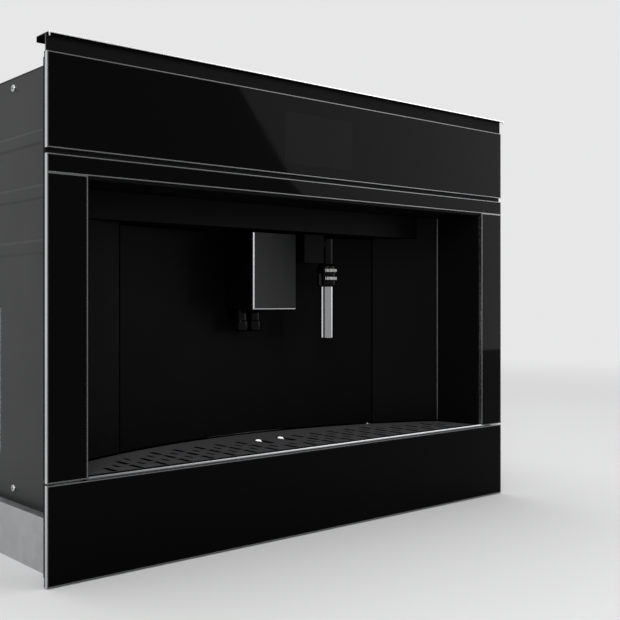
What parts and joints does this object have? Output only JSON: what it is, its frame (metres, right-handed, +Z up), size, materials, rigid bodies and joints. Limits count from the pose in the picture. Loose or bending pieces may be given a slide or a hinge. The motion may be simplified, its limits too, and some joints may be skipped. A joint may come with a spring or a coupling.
{
  "type": "built-in coffee machine",
  "caption": "Built-in coffee machine: glass front, curved recess, pull-out rails, hinged service door, sliding spout, steam wand, drip drawer, side water tank, bean hopper and grinder.",
  "frame": {"origin": "middle of the underside of the cabinet rails' feet, the bottom centre of the bounding box", "axes": "+Z up, the glass front faces -Y, +X to the right of someone who faces the front"},
  "size_m": [0.595, 0.4064, 0.456],
  "materials": {
    "black_glass": "polished, printed black behind",
    "stainless": "fine brushed stainless steel",
    "brushed_steel": "dark upright brushed steel",
    "chrome": "polished",
    "black_metal": "matte black paint",
    "dark_sheet": "dark satin powder coat",
    "grille_metal": "dark satin metal",
    "zinc_sheet": "zinc coated sheet steel",
    "black_plastic": "fine matte moulding",
    "gloss_plastic": "glossy",
    "grey_plastic": "fine matte moulding",
    "white_plastic": "satin",
    "orange_plastic": "satin",
    "clear_plastic": "smoked clear",
    "lamp_lens": "smoked",
    "aluminium": "cast",
    "circuit_board": "solder resist"
  },
  "bodies": {
    "cabinet_rails": {"left_cabinet_rail": "zinc_sheet", "right_cabinet_rail": "zinc_sheet"},
    "left_mid_rail": {"left_mid_rail": "zinc_sheet"},
    "right_mid_rail": {"right_mid_rail": "zinc_sheet"},
    "machine": {"left_inner_rail": "zinc_sheet", "right_inner_rail": "zinc_sheet", "front_frame": "stainless", "control_panel_glass": "black_glass", "crossbar_glass": "black_glass", "left_post_glass": "black_glass", "right_post_glass": "black_glass", "grip_strip": "stainless", "display_module": "circuit_board", "base_plate": "zinc_sheet", "left_side_panel": "dark_sheet", "right_side_panel": "dark_sheet", "rear_panel": "dark_sheet", "top_cover": "dark_sheet", "inner_floor": "zinc_sheet", "upper_shelf": "zinc_sheet", "left_recess_wall": "black_metal", "right_recess_wall": "black_metal", "recess_ceiling": "black_metal", "left_cup_lamp": "lamp_lens", "right_cup_lamp": "lamp_lens", "brew_unit_frame": "grey_plastic", "grinder_housing": "black_plastic", "upper_burr": "stainless", "bean_hopper": "clear_plastic", "thermoblock": "aluminium", "pump": "grey_plastic", "power_board": "circuit_board", "power_inlet": "black_plastic"},
    "drip_drawer": {"drawer_front_frame": "stainless", "drawer_front_glass": "black_glass", "tray_rim": "stainless", "drip_tray": "black_plastic", "grounds_container": "black_plastic"},
    "cup_grille": {"cup_grille": "grille_metal"},
    "level_float": {"level_float": "white_plastic"},
    "service_door": {"service_door": "black_plastic", "spout_rail": "black_plastic", "coffee_duct": "grey_plastic", "steam_mount": "black_plastic"},
    "coffee_spout": {"spout_front_plate": "brushed_steel", "spout_housing": "black_plastic", "spout_nozzles": "gloss_plastic"},
    "steam_wand": {"steam_tube": "gloss_plastic"},
    "frother_collar": {"frother_collar": "gloss_plastic"},
    "frother_sleeve": {"frother_sleeve": "chrome"},
    "brew_chamber": {"brew_chamber": "black_plastic"},
    "lead_screw": {"lead_screw": "stainless"},
    "left_release_button": {"left_release_button": "orange_plastic"},
    "right_release_button": {"right_release_button": "orange_plastic"},
    "lower_burr": {"lower_burr": "stainless"},
    "hopper_lid": {"hopper_lid": "black_plastic"},
    "grind_knob": {"grind_knob": "grey_plastic"},
    "water_tank": {"water_tank": "clear_plastic"},
    "tank_lid": {"tank_lid": "black_plastic"},
    "main_switch": {"main_switch": "black_plastic"}
  },
  "joints": [
    {"name": "machine_slide", "type": "slide", "parent": "cabinet_rails", "child": "machine", "axis": [0, -1, 0], "range_m": [0, 0.34]},
    {"name": "left_mid_rail_slide", "type": "slide", "parent": "cabinet_rails", "child": "left_mid_rail", "axis": [0, -1, 0], "range_m": [0, 0.171]},
    {"name": "right_mid_rail_slide", "type": "slide", "parent": "cabinet_rails", "child": "right_mid_rail", "axis": [0, -1, 0], "range_m": [0, 0.171]},
    {"name": "drip_drawer_slide", "type": "slide", "parent": "machine", "child": "drip_drawer", "axis": [0, -1, 0], "range_m": [0, 0.25]},
    {"name": "cup_grille_lift", "type": "slide", "parent": "drip_drawer", "child": "cup_grille", "axis": [0, 0, -1], "range_m": [-0.03, 0]},
    {"name": "level_float_rise", "type": "slide", "parent": "drip_drawer", "child": "level_float", "axis": [0, 0, 1], "range_m": [0, 0.005]},
    {"name": "service_door_hinge", "type": "hinge", "parent": "machine", "child": "service_door", "pos_m": [0.167, -0.09849, 0.2], "axis": [0, 0, 1], "range_deg": [0, 95]},
    {"name": "spout_height", "type": "slide", "parent": "service_door", "child": "coffee_spout", "axis": [0, 0, 1], "range_m": [-0.05, 0]},
    {"name": "wand_tilt", "type": "hinge", "parent": "service_door", "child": "steam_wand", "pos_m": [0.0856, -0.11522, 0.301], "axis": [1, 0, 0], "range_deg": [-50, 0]},
    {"name": "collar_slide", "type": "slide", "parent": "steam_wand", "child": "frother_collar", "axis": [0, 0, -1], "range_m": [0, 0.006]},
    {"name": "sleeve_pull", "type": "slide", "parent": "steam_wand", "child": "frother_sleeve", "axis": [0, 0, -1], "range_m": [0, 0.06]},
    {"name": "brew_chamber_lift", "type": "slide", "parent": "machine", "child": "brew_chamber", "axis": [0, 0, 1], "range_m": [0, 0.055]},
    {"name": "lead_screw_turn", "type": "hinge", "parent": "machine", "child": "lead_screw", "pos_m": [0, 0.02878, 0.187], "axis": [0, 0, 1], "range_deg": [0, 991]},
    {"name": "left_release_press", "type": "slide", "parent": "machine", "child": "left_release_button", "axis": [1, 0, 0], "range_m": [0, 0.004], "stiffness_N_per_m": 400, "springref_m": -0.002},
    {"name": "right_release_press", "type": "slide", "parent": "machine", "child": "right_release_button", "axis": [-1, 0, 0], "range_m": [0, 0.004], "stiffness_N_per_m": 400, "springref_m": -0.002},
    {"name": "burr_spin", "type": "hinge", "parent": "machine", "child": "lower_burr", "pos_m": [0, 0.00278, 0.35], "axis": [0, 0, 1], "continuous": true},
    {"name": "hopper_lid_hinge", "type": "hinge", "parent": "machine", "child": "hopper_lid", "pos_m": [0, 0.08678, 0.4485], "axis": [-1, 0, 0], "range_deg": [0, 85]},
    {"name": "grind_knob_turn", "type": "hinge", "parent": "machine", "child": "grind_knob", "pos_m": [0.072, 0.00278, 0.397], "axis": [0, 0, 1], "range_deg": [0, 270]},
    {"name": "water_tank_slide", "type": "slide", "parent": "machine", "child": "water_tank", "axis": [-1, 0, 0], "range_m": [0, 0.13]},
    {"name": "tank_lid_hinge", "type": "hinge", "parent": "water_tank", "child": "tank_lid", "pos_m": [-0.2052, 0.0817, 0.2301], "axis": [0, 1, 0], "range_deg": [0, 90]},
    {"name": "main_switch_rock", "type": "hinge", "parent": "machine", "child": "main_switch", "pos_m": [0.1694, 0.19478, 0.331], "axis": [-1, 0, 0], "range_deg": [0, 14]}
  ],
  "couplings": [
    {"joint": "left_mid_rail_slide", "follows": "machine_slide", "ratio": 0.5},
    {"joint": "right_mid_rail_slide", "follows": "machine_slide", "ratio": 0.5},
    {"joint": "lead_screw_turn", "follows": "brew_chamber_lift", "rad_per_m": 314.16}
  ]
}
